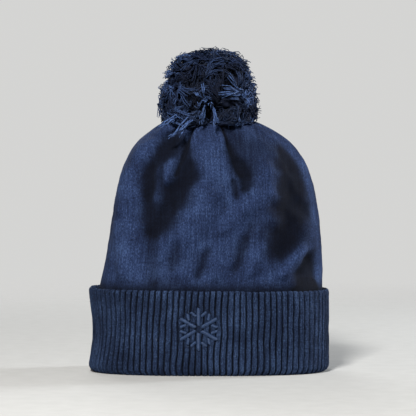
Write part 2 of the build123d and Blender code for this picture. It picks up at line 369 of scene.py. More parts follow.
def crown_relief(x, z, squarely, facing):
    """How far folds, darts and back seam raise the knit, in millimetres, and how much shade they paint into
    its colour.
    squarely is how much the knit faces straight to the front or back, from 0 to 1."""
    front_ridge = fold_field(x, z, FRONT_RIDGES)
    crease, step = dart_field(x, z)
    front = front_ridge - HOLLOW_RELIEF * fold_field(x, z, FRONT_HOLLOWS)
    back = fold_field(x, z, BACK_RIDGES) - fold_field(x, z, BACK_HOLLOWS)
    back -= BACK_SEAM_DEPTH * exp(-((x / BACK_SEAM_WIDTH) ** 2))
    height = (front * facing + back * (1 - facing)) * ease(0.1, 0.5, squarely)
    height = where(height < 0, -DEEPEST_HOLLOW * (1 - exp(height / DEEPEST_HOLLOW)), height)
    height -= CREASE_DEPTH * crease + DART_STEP * step
    raised = RIDGE_LIGHT * front_ridge
    sides = ease(0.32, 0.66, squarely) * (BACK_SHADE + (1 - BACK_SHADE) * facing)
    deep = hollows(x, z, raised, facing) * sides
    soft = hollows(x, z, raised, facing, SOFT_SPREAD) * sides
    lit = exp(
        -HOLLOW_SHADE * ease(0.0, FULL_SHADE, deep)
        - SOFT_SHADE * ease(0.0, FULL_SHADE, soft)
        # painted shade beside the outer side of the front's right-hand dart
        - DART_SHADE * (step * facing * (x > DART_CENTRE_X))
    )
    # The crease term paints a dark line of shade along each dart.
    return height, 1 - lit + 0.9 * crease


def crown_surface(name, inset, rows, columns, relief):
    """One ply of the crown, with folds, darts, back seam and gathered apex scaled by relief. Shade is
    painted into it in its hollows, along its darts and just above the cuff.
    """
    points, angle, around, facing, u, v = crown_base(inset, rows, columns)
    normals = grid_normals(points)
    x_mm = points[..., 0] / MM
    z_mm = points[..., 2] / MM
    height, shade = crown_relief(x_mm, z_mm, abs(normals[..., 1]), facing)
    around_mm = around / MM + 0 * z_mm
    height += 0.35 * ripple(3, around_mm, z_mm, 24) + 0.16 * ripple(4, around_mm, z_mm, 9)
    height += GATHER_DEPTH * cos(angle * GATHERS) * ease(216, 231, z_mm)
    above_cuff = ease(72, 92, z_mm)
    top_fade = 1 - ease(229, 234, z_mm)
    points = points + normals * (height * relief * above_cuff * top_fade * MM)[..., None]
    # Painted shadow on the crown just above the cuff, where the cuff's top edge shades it.
    cuff_shadow = 1 - ease(75, 88, z_mm)
    obj = grid_object(name, points, u, v)
    store_painted_shade(obj, shade + 0.85 * cuff_shadow)
    return obj, points, normals


def seam_thread(name, crown_grid, start, end, front):
    """A sewing thread between the plies, which follows the crown's face from start to end (x, z in mm)."""
    points, normals = (grid.reshape(-1, 3) for grid in crown_grid)
    face = points[:, 1] * front > 0
    points, normals = points[face] / MM, normals[face]
    t = linspace(0, 1, 60)[:, None]
    wanted = np.array(start) * (1 - t) + np.array(end) * t
    gap = hypot(*(points[None, :, (0, 2)] - wanted[:, None, :]).transpose(2, 0, 1))
    near = np.argsort(gap, axis=1)[:, :6]
    weight = 1 / (np.take_along_axis(gap, near, axis=1) + 0.2)
    weight = (weight / weight.sum(axis=1, keepdims=True))[..., None]
    place = (points[near] * weight).sum(axis=1) - 1.3 * (normals[near] * weight).sum(axis=1)
    return twisted_yarn(name, place * MM, 0.3 * MM, plies=2, turns_per_mm=0.5, sides=5)


# Cuff

FOLD_RADIUS = 7.5
CUFF_WIDE, CUFF_DEEP, CUFF_TOP = -CUFF_LOW[0] / MM, CUFF_HIGH[1] / MM, CUFF_HIGH[2] / MM
CROWN_WIDE, CROWN_DEEP = CROWN_HALF_WIDTH / MM, CROWN_HALF_DEPTH / MM


def cuff_rows():
    """The band's cross-section as a closed loop, in millimetres: half width, half depth, z, and how much
    of its full depth a rib has there."""
    inner_top = SEAM_Z / MM - 2
    rows = [(CROWN_WIDE - 3, CROWN_DEEP - 3, z, 0.55) for z in linspace(inner_top, 6, 14)]
    for turn in linspace(0, pi / 2, 5)[1:]:
        inset = 3 - 3 * (1 - cos(turn))
        rows.append((CROWN_WIDE - inset, CROWN_DEEP - inset, 5 - 5 * sin(turn), 0.6))
    for turn in linspace(0, pi / 2, 9)[:-1]:
        out = sin(turn)
        rows.append((
            CUFF_WIDE - FOLD_RADIUS + FOLD_RADIUS * out,
            CUFF_DEEP - 0.6 * FOLD_RADIUS + 0.6 * FOLD_RADIUS * out,
            FOLD_RADIUS * (1 - cos(turn)),
            0.7 + 0.3 * out,
        ))
    rows += [(CUFF_WIDE, CUFF_DEEP, z, 1.0) for z in linspace(FOLD_RADIUS, CUFF_TOP - 2.2, 28)]
    for inset, down, rib in ((0.3, 1.0, 0.95), (0.9, 0.3, 0.85), (1.7, 0.0, 0.7), (2.5, 0.4, 0.45)):
        rows.append((CUFF_WIDE - inset, CUFF_DEEP - inset, CUFF_TOP - down, rib))
    rows += [(CUFF_WIDE - 3.2, CUFF_DEEP - 3.2, z, 0.25) for z in linspace(CUFF_TOP - 2, 8, 9)]
    rows.append((CUFF_WIDE - 4.3, CUFF_DEEP - 3.7, 4.4, 0.1))
    rows.append((CROWN_WIDE + 1.6, CROWN_DEEP + 0.9, 4.2, 0.1))
    rows += [(CROWN_WIDE, CROWN_DEEP, z, 0.1) for z in linspace(8, inner_top, 7)]
    return np.array(rows)


def rib_height(phase):
    """A rounded rib between two grooves, from 0 in the groove to 1; phase is 0 at a groove's middle."""
    from_groove = np.minimum(phase % 1, 1 - phase % 1)
    up_the_side = np.clip((from_groove - 0.05) / 0.36, 0, 1)
    round_top = sqrt(maximum(1 - (1 - up_the_side) ** 2.6, 0))
    between_wales = 0.10 * exp(-(((from_groove - 0.5) / 0.07) ** 2))
    return round_top - between_wales


RIB_SAMPLES = np.array([0.0, 0.05, 0.09, 0.15, 0.25, 0.38, 0.5, 0.62, 0.75, 0.85, 0.91, 0.95])

MOTIF_CENTRE_X = (MOTIF_LOW[0] + MOTIF_HIGH[0]) / 2 / MM
MOTIF_CENTRE_Z = (MOTIF_LOW[2] + MOTIF_HIGH[2]) / 2 / MM
MOTIF_ARM = 19.0
MOTIF_BAR = 3.0
MOTIF_BARB = 2.4


def motif_lines():
    """The star's bars as start, end and width in millimetres: six arms, then two barbs for each."""
    centre = np.array([MOTIF_CENTRE_X, MOTIF_CENTRE_Z])
    lines = []
    for arm in range(6):
        angle = radians(90 + 60 * arm)
        heading = np.array([cos(angle), sin(angle)])
        lines.append((centre + 3.2 * heading, centre + MOTIF_ARM * heading, MOTIF_BAR))
        for turn in (-1, 1):
            barb = angle + turn * radians(50)
            away = np.array([cos(barb), sin(barb)])
            joint = centre + 0.5 * MOTIF_ARM * heading
            lines.append((joint + 3.2 * away, joint + 9.0 * away, MOTIF_BARB))
    return lines


def motif_distance(x, z):
    """Distance in millimetres from each point of the front to the nearest bar's middle line."""
    nearest = np.full_like(x, 1e3)
    for start, end, _ in motif_lines():
        distance, _ = segment_distance(x, z, start[0], start[1], end[0], end[1])
        nearest = np.minimum(nearest, distance)
    return nearest


def rib_shift(straight, x, y, z):
    """How far each rib leans and wanders from straight, in millimetres: it bends round the embroidery."""
    front = ease(-0.2, 0.6, -y / CUFF_DEEP)
    lean_degrees = (1.9 - 1.7 * x / CUFF_WIDE) * front
    shift = np.tan(np.radians(lean_degrees)) * (z - 36)
    shift = shift + 0.42 * ripple(11, straight, z, 34) + 0.16 * ripple(12, straight, z, 12)
    motif_x, motif_z = x - MOTIF_CENTRE_X, z - MOTIF_CENTRE_Z
    around_motif = exp(-((motif_x / 24) ** 2) - (motif_z / 22) ** 2) * front
    return shift + 0.9 * sin(motif_x / 7.5 + motif_z / 9) * around_motif


def cuff_surface(name):
    """The folded rib band, with every rib modelled."""
    phase = (np.arange(RIB_COUNT)[:, None] + RIB_SAMPLES).ravel()
    angles, lengths = arc_table(CUFF_WIDE, CUFF_DEEP)
    round_length = lengths[-1]
    pitch = round_length / RIB_COUNT
    rows = cuff_rows()
    full_rib = rows[:, 3:4]
    z = rows[:, 2:3] + 0 * phase
    straight = phase * pitch + 0 * z
    x0, y0 = section_xy(np.interp(straight, lengths, angles), CUFF_WIDE, CUFF_DEEP)
    position = (straight + rib_shift(straight, x0, y0, z)) % round_length
    base_x, base_y = section_xy(np.interp(position, lengths, angles), 1.0, 1.0)
    outer = ease(CROWN_WIDE + 1, CUFF_WIDE - 3, rows[:, 0])[:, None]
    up = np.clip(z / CUFF_TOP, 0, 1)
    left = ease(55, 105, -CUFF_WIDE * base_x)
    hollow = -4.2 * sin(pi * up) ** 1.5 * left * outer
    belly = 0.8 * ripple(14, straight, z, 60) * outer * up
    points = join((rows[:, 0:1] + hollow + belly) * base_x, (rows[:, 1:2] + 0.5 * belly) * base_y, z)
    normals = grid_normals(points * MM, wrap_rows=True)
    rise = rib_height(phase) * full_rib
    to_motif = motif_distance(points[..., 0], points[..., 2])
    pressed = exp(-((to_motif / 2.3) ** 2)) * outer * (points[..., 1] < 0)
    rise = rise * (1 - 0.8 * pressed) + 0.28 * pressed
    uneven = 1 + 0.10 * ripple(15, straight, z, 16)
    ribs = (rise * uneven - 0.72 * full_rib) * RIB_DEPTH
    to_seam = round_length / 2 - abs(position - round_length / 2)
    seam = -1.1 * MM * exp(-((to_seam / 1.5) ** 2)) * outer
    points = points * MM + normals * (ribs + seam)[..., None]
    slant = (0.5 - 1.0 * base_x) * MM + 0.35 * MM * ripple(16, straight, 0 * z, 40)
    points[..., 2] += slant * up ** 2
    points[..., 2] = maximum(points[..., 2], 0.0)
    path = length_along(rows[:, 0], rows[:, 2])
    path = np.concatenate([path, [path[-1] + 3]]) * MM
    u_edge = np.concatenate([phase, [float(RIB_COUNT)]]) * pitch * MM
    obj = grid_object(name, points, u_edge, path[:, None], wrap_rows=True)
    # Painted shade in the grooves between ribs, which the rib material darkens its colour by.
    store_painted_shade(obj, (1 - np.clip(rise / maximum(full_rib, 0.1), 0, 1)) ** 0.75)
    return obj


# Embroidery

def front_face_y(x):
    """The y of the cuff's outer face at the front, in millimetres."""
    power = SECTION_POWER
    return -CUFF_DEEP * (1 - abs(x / CUFF_WIDE) ** power) ** (1 / power)


def motif_threads(name):
    """Satin stitch: threads laid side by side across each bar, arched over a raised middle."""
    rng = np.random.default_rng(21)
    spacing = 0.36
    across = linspace(-1, 1, 9)
    centres = []
    for start, end, width in motif_lines():
        length = hypot(*(end - start))
        heading = (end - start) / length
        side = np.array([-heading[1], heading[0]])
        count = int(length / spacing)
        for i in range(count):
            at = (i + 0.5) / count
            round_end = sqrt(max(1 - abs(2 * at - 1) ** 14, 0.05))
            half = width / 2 * round_end * rng.uniform(0.97, 1.03)
            middle = start + heading * (at * length)
            line = middle + side * (across * half)[:, None]
            line += heading * (across * 0.42 + rng.normal(0, 0.03))[:, None]
            arch = 0.15 + 0.85 * (1 - abs(across) ** 2.4) * round_end + rng.normal(0, 0.02)
            y = front_face_y(line[:, 0]) + 0.45 - arch
            centres.append(join(line[:, 0], y, line[:, 1]))
    centres = np.array(centres) * MM
    radii = np.full(centres.shape[:2], 0.24 * MM)
    return tubes_object(name, centres, radii, sides=6)


# Pom

POM_RADIUS = 46 * MM
POM_CENTRE = np.array([0.0, 0.0, POM_HIGH[2] - POM_RADIUS])
POM_SQUARENESS = 2.6
POM_SEAT = -0.52  # below this share of the radius the crown presses the tufts up
POM_MIDDLE = 0.42  # where the yarns start, as a share of the radius
CORE_RADIUS = 0.028
TUFTS = 260
YARNS_PER_TUFT = 10
PLIES = 3
POM_RINGS = 10  # points along each ply
TILT = radians(12)
TILT_ROOM = 2.2 * MM  # how near the knit a yarn may swing before it counts as stopped
CROWN_GAP = 1.6 * MM  # how far a yarn that lies on the crown stays off its smooth shape


def direction(polar, turn):
    """Unit vectors, by their angles down from +Z and round it."""
    level = sin(polar)
    return join(level * cos(turn), level * sin(turn), cos(polar))


def sphere_points(count, seed):
    """Roughly even directions over a sphere, jittered."""
    rng = np.random.default_rng(seed)
    i = np.arange(count) + 0.5
    polar = np.arccos(1 - 2 * i / count) + rng.normal(0, 0.05, count)
    turn = pi * (1 + 5 ** 0.5) * i + rng.normal(0, 0.12, count)
    return direction(polar, turn)


def swirl(directions, seed):
    """A smooth tangential field over the sphere: which way the tufts flop."""
    rng = np.random.default_rng(seed)
    field = np.zeros_like(directions)
    for _ in range(6):
        axis = unit(rng.normal(size=3))
        wave = unit(rng.normal(size=3)) * rng.uniform(2.0, 4.5)
        field += np.cross(directions, axis) * sin(directions @ wave + rng.uniform(0, 2 * pi))[:, None]
    return field


def pom_outline(directions):
    """How far the trimmed ball reaches in each direction, as a share of its radius."""
    level = hypot(directions[..., 0], directions[..., 1])
    power = POM_SQUARENESS
    drooping = 1 + 0.07 * ease(0.5, -0.4, directions[..., 2])
    return drooping * (level ** power + abs(directions[..., 2]) ** power) ** (-1 / power)


# Partings where the tufts are short and the ball is dark: direction, width as a cosine, and depth
POM_PARTINGS = (
    ((0.36, -0.82, 0.36), 0.935, 0.26),
    ((-0.50, -0.85, 0.05), 0.955, 0.20),
    ((0.06, -0.86, -0.50), 0.955, 0.34),
    ((-0.30, -0.66, 0.62), 0.970, 0.20),
    ((0.72, 0.62, 0.10), 0.945, 0.20),
    ((-0.45, 0.85, -0.10), 0.935, 0.26),
    ((0.10, 0.70, 0.70), 0.955, 0.20),
)


def parting_depth(directions):
    """How much shorter than the rest the tufts are in each direction."""
    depth = np.zeros(directions.shape[:-1])
    for middle, width, shorter in POM_PARTINGS:
        near = directions @ unit(np.array(middle))
        depth = maximum(depth, shorter * ease(width - 0.06, width + 0.03, near))
    return depth


def pom_strands(seed):
    """Ply centre lines for tufts of cut yarn that leave the middle, flop over and fray at their ends.
    Returns the lines, their radii, how much shade is painted on each point, and each line's tuft."""
    rng = np.random.default_rng(seed)
    tuft_dir = sphere_points(TUFTS, seed)
    laid_over = 1.35 * rng.uniform(0, 1, (TUFTS, 1)) ** 1.4
    tuft_flop = (0.5 * swirl(tuft_dir, seed + 1) + rng.normal(0, 0.7, (TUFTS, 3))) * laid_over
    tuft_flop[:, 2] -= 0.10 + 0.30 * (tuft_dir[:, 2] < -0.1)
    short = rng.uniform(0, 1, TUFTS) < 0.22
    tuft_reach = where(short, rng.uniform(0.80, 0.90, TUFTS), rng.uniform(0.95, 1.0, TUFTS))
    tuft_reach *= 1 - parting_depth(tuft_dir)
    tuft_curl = rng.normal(0, 1.1, TUFTS)
    yarns = TUFTS * YARNS_PER_TUFT
    tuft_dir[:, 0] += 0.03
    tuft = np.repeat(np.arange(TUFTS), YARNS_PER_TUFT)
    heading = unit(tuft_dir[tuft] + rng.normal(0, 0.055, (yarns, 3)))
    flop = tuft_flop[tuft] * rng.uniform(0.55, 1.1, yarns)[:, None] + rng.normal(0, 0.16, (yarns, 3))
    flop -= heading * np.sum(flop * heading, axis=1, keepdims=True)
    sideways = np.cross(heading, flop)
    reach = tuft_reach[tuft] * rng.uniform(0.93, 1.0, yarns)
    s = linspace(0, 1, POM_RINGS)
    out = POM_MIDDLE + (reach - POM_MIDDLE)[:, None] * sin(s * pi / 2) ** 0.8
    curl = (tuft_curl[tuft] + rng.normal(0, 0.35, yarns))[:, None] * s ** 2
    bend = flop[:, None, :] * cos(curl)[..., None] + sideways[:, None, :] * sin(curl)[..., None]
    line = unit(heading[:, None, :] + bend * (0.62 * s ** 2.0)[:, None])
    line = line * (out * pom_outline(line))[..., None]
    for k in range(3):
        wave = sin(2 * pi * (0.9 + 0.8 * k) * s + rng.uniform(0, 2 * pi, (yarns, 1))) * s
        line += rng.normal(0, 1, (yarns, 1, 3)) * (0.022 / (1 + 0.4 * k)) * wave[..., None]
    line[..., 2] = where(line[..., 2] < POM_SEAT, POM_SEAT + 0.3 * (line[..., 2] - POM_SEAT), line[..., 2])
    reached = np.linalg.norm(line, axis=-1) / pom_outline(unit(line))
    # Painted shade: yarn deep in the ball is darkened, and a random share per tuft lightens or darkens its
    # tips as light and shade would.
    tone = rng.choice([1.0, 0.8, 0.45, 0.2], TUFTS, p=[0.38, 0.24, 0.20, 0.18])
    depth = 1 - ease(0.76, 0.98, reached) * tone[tuft][:, None]
    line *= POM_RADIUS - 1.5 * MM
    centres, widths = frayed_plies(rng, line, s)
    return centres + POM_CENTRE, widths, np.tile(depth, (PLIES, 1)), np.tile(tuft, PLIES)


def frayed_plies(rng, line, s):
    """The plies that twist round each yarn's line and part towards its cut end, and their radii."""
    yarns = len(line)
    along = unit(np.gradient(line, axis=1))
    side = unit(np.cross(along, unit(rng.normal(size=(yarns, 1, 3)))))
    up = np.cross(side, along)
    turn0 = rng.uniform(0, 2 * pi, yarns)
    parts, widths = [], []
    for ply in range(PLIES):
        turn = turn0[:, None] + 2 * pi * (ply / PLIES + 1.7 * s * (1 - 0.4 * s))
        fray = 0.5 * MM + rng.uniform(0.4, 1.6, yarns)[:, None] * MM * ease(0.66, 1.0, s)
        offset = side * cos(turn)[..., None] + up * sin(turn)[..., None]
        stray = rng.normal(0, 0.8 * MM, (yarns, 1, 3)) * (ease(0.7, 1.0, s) ** 2)[:, None]
        parts.append(line + offset * fray[..., None] + stray)
        thick = rng.uniform(0.40, 0.58, yarns)[:, None] * MM
        widths.append(thick * (1 - 0.35 * ease(0.8, 1.0, s)))
    return np.concatenate(parts), np.concatenate(widths)


def hanging_tuft(seed, root, tip, yarns, spread):
    """A few yarns that hang out of the ball over the crown. Places are in millimetres."""
    rng = np.random.default_rng(seed)
    s = linspace(0, 1, POM_RINGS)
    ends = np.array(tip) + rng.normal(0, spread, (yarns, 3))
    roots = np.array(root) + rng.normal(0, 1.2, (yarns, 3))
    line = roots[:, None, :] + (ends - roots)[:, None, :] * s[:, None]
    line[..., 1] -= 3 * sin(pi * s)
    line += rng.normal(0, 1, (yarns, 1, 3)) * (0.9 * sin(2.3 * pi * s) * s)[:, None]
    plies = []
    for ply in range(PLIES):
        turn = rng.uniform(0, 2 * pi, (yarns, 1)) + 2 * pi * (ply / PLIES + 1.5 * s)
        fray = 0.45 + 1.0 * ease(0.7, 1.0, s)
        twist = join(cos(turn), 0.3 * sin(turn), sin(turn))
        plies.append(line + twist * fray[..., None])
    centres = np.concatenate(plies) * MM
    radii = np.full(centres.shape[:2], 0.48 * MM) * (1 - 0.4 * ease(0.8, 1.0, s))
    return clear_of_crown(centres), radii, np.zeros(centres.shape[:2])


def crown_clearance(centres):
    """For each point: whether it is in the crown, how high it would come out, and the face's depth there."""
    x, y, z = np.moveaxis(centres, -1, 0)
    power = SECTION_POWER
    wide = abs((x - lean_at(z)) / CROWN_HALF_WIDTH)
    spread = (wide ** power + abs(y / CROWN_HALF_DEPTH) ** power) ** (1 / power)
    t = linspace(0, 1, 600)
    share = dome_share(t)
    heights = DOME_START_Z + (APEX_Z - DOME_START_Z) * t
    surface = np.interp(spread, share[::-1], heights[::-1]) + CROWN_GAP
    share_here = np.interp(z, heights, share)
    face = CROWN_HALF_DEPTH * maximum(share_here ** power - wide ** power, 0) ** (1 / power) + CROWN_GAP
    inside = (spread < 0.98) & (surface > z) & (face > abs(y))
    return inside, surface, face


def clear_of_crown(centres):
    """Moves strands out of the crown, up where it is flat and forward or back where it is steep."""
    inside, surface, face = crown_clearance(centres)
    y, z = centres[..., 1], centres[..., 2]
    sideways = inside & (face - abs(y) < surface - z)
    centres[..., 1] = where(sideways, np.sign(y) * face, y)
    centres[..., 2] = where(inside & ~sideways, surface, z)
    return centres


def lies_on_crown(centres):
    """Which strands the crown would stop at some tilt of the ball, so that they stay with it."""
    pivot = np.array([0.0, 0.0, PIVOT_Z])
    stopped = np.zeros(len(centres), dtype=bool)
    for nod in (-TILT, 0, TILT):
        for sway in (-TILT, 0, TILT):
            turn = Matrix.Rotation(nod, 3, "X") @ Matrix.Rotation(sway, 3, "Y")
            tilted = (centres - pivot) @ np.array(turn).T + pivot
            tilted[..., 2] -= TILT_ROOM
            stopped |= crown_clearance(tilted)[0].any(axis=1)
    return stopped


def pom_core():
    """The dense middle of the pom, coloured near black as painted shade between the tufts."""
    rows, columns = 90, 160
    polar = linspace(0.001, pi - 0.001, rows)[:, None]
    turn = linspace(0, 2 * pi, columns, endpoint=False)
    directions = direction(polar, turn)
    bumps = ripple(31, directions[..., 0] * 40 + directions[..., 2] * 17, directions[..., 1] * 40, 12)
    shorter = 1 - 1.2 * parting_depth(directions)
    radius = POM_RADIUS * (0.76 + 0.04 * bumps) * shorter * pom_outline(directions)
    points = directions * radius[..., None] + POM_CENTRE
    points[..., 2] = maximum(points[..., 2], PIVOT_Z + 9 * MM)
    u = linspace(0, 2 * pi * CORE_RADIUS, columns + 1)
    v = linspace(0, pi * CORE_RADIUS, rows)[:, None]
    return grid_object("pom_core", points, u, v)


# Label and tie

def care_label():
    """A folded tape that hangs from its top edge and curls a little at the fold."""
    width = LABEL_HIGH[0] - LABEL_LOW[0]
    length = LABEL_HIGH[2] - LABEL_LOW[2]
    middle_y = (LABEL_LOW[1] + LABEL_HIGH[1]) / 2
    rows, columns = 60, 36
    s = linspace(0, 2, rows)
    down = where(s < 1, s, 2 - s)
    across = linspace(-0.5, 0.5, columns)
    drop = LABEL_HIGH[2] - length * down
    layer = where(s < 1, 0.28, -0.28) * MM * (1 - 0.2 * down)
    fold = sqrt(np.clip((1 - down) / 0.02, 0, 1))
    curl = -0.8 * MM * down ** 2
    x = across * width
    y = middle_y + (layer * fold + curl)[:, None] - 0.25 * MM * cos(across * pi) * down[:, None]
    points = join(x, y, drop[:, None])
    faces, corner_rows, corner_columns = grid_faces(rows, columns, False, False)
    uv = join(corner_columns / (columns - 1) * width, corner_rows / (rows - 1) * 2 * length)
    obj = make_object("care_label_tape", points.reshape(-1, 3), faces, uv.reshape(-1, 2))
    thick = obj.modifiers.new("Thickness", "SOLIDIFY")
    thick.thickness = 0.22 * MM
    thick.offset = 0
    return obj


def twisted_yarn(name, line, radius, plies=3, turns_per_mm=0.22, sides=8):
    """A plied yarn that follows a line of points."""
    along = unit(np.gradient(line, axis=0))
    helper = np.array([0.31, 0.92, 0.23])
    side = unit(np.cross(along, helper))
    up = np.cross(side, along)
    length = np.concatenate([[0], np.cumsum(np.linalg.norm(np.diff(line, axis=0), axis=1))]) / MM
    centres = []
    for ply in range(plies):
        turn = 2 * pi * (ply / plies + turns_per_mm * length)
        centres.append(line + (side * cos(turn)[:, None] + up * sin(turn)[:, None]) * radius * 0.55)
    centres = np.array(centres)
    return tubes_object(name, centres, np.full(centres.shape[:2], radius * 0.52), sides)


def tie_loop():
    """The doubled tie yarn through the apex and the wraps of its cap above the knit."""
    t = linspace(0, 1, 60)
    stray = 0.35 * MM
    stem = join(stray * sin(7 * t), stray * cos(5 * t), KNOT_LOW[2] + 3 * MM + t * (14 * MM))
    s = linspace(0, 1, 420)
    radius = 1.6 * MM + 4.3 * MM * sin(pi * (0.15 + 0.8 * s))
    turn = 2 * pi * 5.5 * s
    wraps = join(radius * cos(turn), radius * sin(turn), PIVOT_Z + 5.2 * MM + 2.4 * MM * s)
    return twisted_yarn("tie_stem_yarn", stem, 1.0 * MM), twisted_yarn("tie_cap_yarn", wraps, 0.75 * MM)


def tie_knot():
    """A yarn wound into a knot below the felt disc."""
    s = linspace(0, 1, 700)
    centre = np.array([0, 0, (KNOT_LOW[2] + KNOT_HIGH[2]) / 2])
    a, b = 2 * pi * 7 * s, 2 * pi * 5.3 * s
    line = centre + 3.2 * MM * join(cos(a) * cos(b), sin(a) * cos(b), 0.95 * sin(b))
    return twisted_yarn("tie_knot_yarn", line, 0.85 * MM, plies=2)


# Materials

# The near-black colour that painted shade darkens the knit and yarn towards.
PAINTED_SHADE_COLOR = (0.0025, 0.0028, 0.0050)
LINT_COLOR = (0.25, 0.30, 0.40)
SHEEN_TINT = (0.45, 0.58, 0.95)


class Tree:
    """A material's or world's node tree, with a short call for each kind of node used here. A value is
    a number, a colour as a tuple, or another node's output."""

    def __init__(self, owner):
        owner.use_nodes = True
        self.owner = owner
        self.nodes = owner.node_tree.nodes
        self.links = owner.node_tree.links

    def put(self, node, sockets):
        """Sets or links a node's sockets, by name or number."""
        for key, value in sockets.items():
            if isinstance(value, (int, float)):
                node.inputs[key].default_value = value
            elif isinstance(value, tuple):
                node.inputs[key].default_value = (*value, 1.0)
            else:
                self.links.new(value, node.inputs[key])

    def node(self, kind, sockets=()):
        node = self.nodes.new("ShaderNode" + kind)
        self.put(node, dict(sockets))
        return node

    def surface(self, **sockets):
        """Sets or links the shader's own sockets, named with _ for a space, and returns the material."""
        self.put(self.nodes["Principled BSDF"], {key.replace("_", " "): sockets[key] for key in sockets})
        return self.owner

    def math(self, operation, a, b=0.5, clamp=False):
        node = self.node("Math", {0: a, 1: b})
        node.operation = operation
        node.use_clamp = clamp
        return node.outputs[0]

    def add(self, a, b, clamp=False):
        return self.math("ADD", a, b, clamp)

    def times(self, a, b):
        return self.math("MULTIPLY", a, b)

    def place(self):
        """Object coordinates, which are the part's own metres."""
        return self.node("TexCoord").outputs["Object"]

    def knit_place(self):
        node = self.node("UVMap")
        node.uv_map = "Knit"
        return node.outputs["UV"]

    def noise(self, scale, detail=2.0, roughness=0.5, place=None):
        sockets = {"Scale": scale, "Detail": detail, "Roughness": roughness, "Vector": place or self.place()}
        return self.node("TexNoise", sockets).outputs["Fac"]

    def knit_noise(self, scale, stretch):
        """Noise along the knit's own wales: stretch below 1 draws it out lengthwise."""
        mapping = self.node("Mapping", {"Vector": self.knit_place()})
        mapping.inputs["Scale"].default_value = (1.0, stretch, 1.0)
        return self.noise(scale, 3.0, 0.75, mapping.outputs["Vector"])

    def ramp(self, factor, *stops):
        node = self.node("ValToRGB", {"Fac": factor})
        elements = node.color_ramp.elements
        while len(elements) < len(stops):
            elements.new(0.5)
        for element, (place, color) in zip(elements, stops):
            element.position = place
            element.color = (*color, 1.0)
        return node.outputs["Color"]

    def mix(self, factor, a, b, blend="MIX"):
        node = self.node("Mix")
        node.data_type = "RGBA"
        node.blend_type = blend
        self.put(node, {0: factor, 6: a, 7: b})
        return node.outputs[2]

    def apply_painted_shade(self, color, strength):
        """Paints shade into a colour: darkens it by the mesh's painted shade attribute."""
        hollow = self.node("Attribute")
        hollow.attribute_name = "PaintedShade"
        return self.mix(self.times(hollow.outputs["Fac"], strength), color, PAINTED_SHADE_COLOR)

    def bump(self, height, distance):
        return self.node("Bump", {"Strength": 1.0, "Distance": distance, "Height": height}).outputs["Normal"]


def new_material(name):
    return Tree(bpy.data.materials.new(name))


def knit_height(mat, wale, course):
    """Interlocking V stitches of plain jersey, 0 to 1, from the Knit UV in metres."""
    uv = mat.node("SeparateXYZ", {0: mat.knit_place()}).outputs
    across = mat.math("FRACT", mat.math("DIVIDE", uv[0], wale))
    from_middle = mat.math("ABSOLUTE", mat.math("SUBTRACT", across, 0.5))
    up = mat.add(mat.math("DIVIDE", uv[1], course), mat.times(from_middle, 1.3))
    wave = mat.math("SINE", mat.times(up, 2 * pi))
    stitch = mat.add(mat.times(wave, 0.3), 0.7)
    column = mat.math("SINE", mat.times(from_middle, 2 * pi))
    column = mat.math("POWER", mat.math("MAXIMUM", column, 0.001), 0.6)
    return mat.times(stitch, column)


def knit_material(name, deep, mid, light, wale, course, bump, sheen, painted_shade_strength):
    """Heathered jersey: fleck from mixed fibres, shade painted between stitches and from the mesh's painted
    shade attribute, a little lint.
    """
    mat = new_material(name)
    height = knit_height(mat, wale, course)
    fibres = mat.knit_noise(1000, 0.5)
    wales = mat.knit_noise(520, 0.05)
    patches = mat.noise(38, 3, 0.6)
    tone = mat.add(mat.times(fibres, 0.5), mat.times(wales, 0.25))
    tone = mat.add(tone, mat.times(patches, 0.25))
    yarn = mat.ramp(tone, (0.39, deep), (0.5, mid), (0.61, light))
    # Painted shade between stitches: the colour is darkened where the stitch height is low.
    shade = mat.add(mat.times(height, 0.45), 0.62, clamp=True)
    grey = mat.node("CombineColor", {0: shade, 1: shade, 2: shade})
    color = mat.mix(1.0, yarn, grey.outputs[0], "MULTIPLY")
    lint = mat.math("GREATER_THAN", mat.noise(800, 0), 0.85)
    color = mat.mix(mat.times(lint, 0.3), color, LINT_COLOR)
    fuzz = mat.noise(2600, 2, 0.6)
    return mat.surface(
        Base_Color=mat.apply_painted_shade(color, painted_shade_strength),
        Normal=mat.bump(mat.add(height, mat.times(fuzz, 0.7)), bump),
        Roughness=mat.add(mat.times(fibres, 0.2), 0.75),
        Specular_IOR_Level=0.06,
        Sheen_Weight=sheen,
        Sheen_Roughness=0.35,
        Sheen_Tint=SHEEN_TINT,
    )


def thread_material(name, deep, light, rough, specular, sheen, fleck=900, painted_shade_strength=0.0):
    """Spun or satin thread: two tones of fibre along it and a fine fuzz, with shade painted from the mesh's
    attribute where asked.
    """
    mat = new_material(name)
    fibres = mat.noise(fleck, 3, 0.65)
    color = mat.ramp(fibres, (0.36, deep), (0.66, light))
    if painted_shade_strength:
        color = mat.apply_painted_shade(color, painted_shade_strength)
    return mat.surface(
        Base_Color=color,
        Normal=mat.bump(mat.noise(3200, 2), 0.00008),
        Roughness=mat.add(mat.times(fibres, 0.25), rough - 0.12),
        Specular_IOR_Level=specular,
        Sheen_Weight=sheen,
        Sheen_Tint=SHEEN_TINT,
    )


def plain_weave_material(name, dark, light, threads_per_m, rough):
    """Woven tape or pressed felt in object coordinates."""
    mat = new_material(name)
    place = mat.node("SeparateXYZ", {0: mat.place()}).outputs
    warp = mat.math("SINE", mat.times(place[0], 2 * pi * threads_per_m))
    weft = mat.math("SINE", mat.times(place[2], 2 * pi * threads_per_m))
    weave = mat.add(mat.times(mat.times(warp, weft), 0.5), 0.5)
    fibres = mat.noise(700, 3)
    tone = mat.add(mat.times(weave, 0.4), mat.times(fibres, 0.6))
    return mat.surface(
        Base_Color=mat.ramp(tone, (0.3, dark), (0.7, light)),
        Normal=mat.bump(weave, 0.0001),
        Roughness=mat.add(mat.times(fibres, 0.2), rough - 0.1),
        Sheen_Weight=0.15,
    )


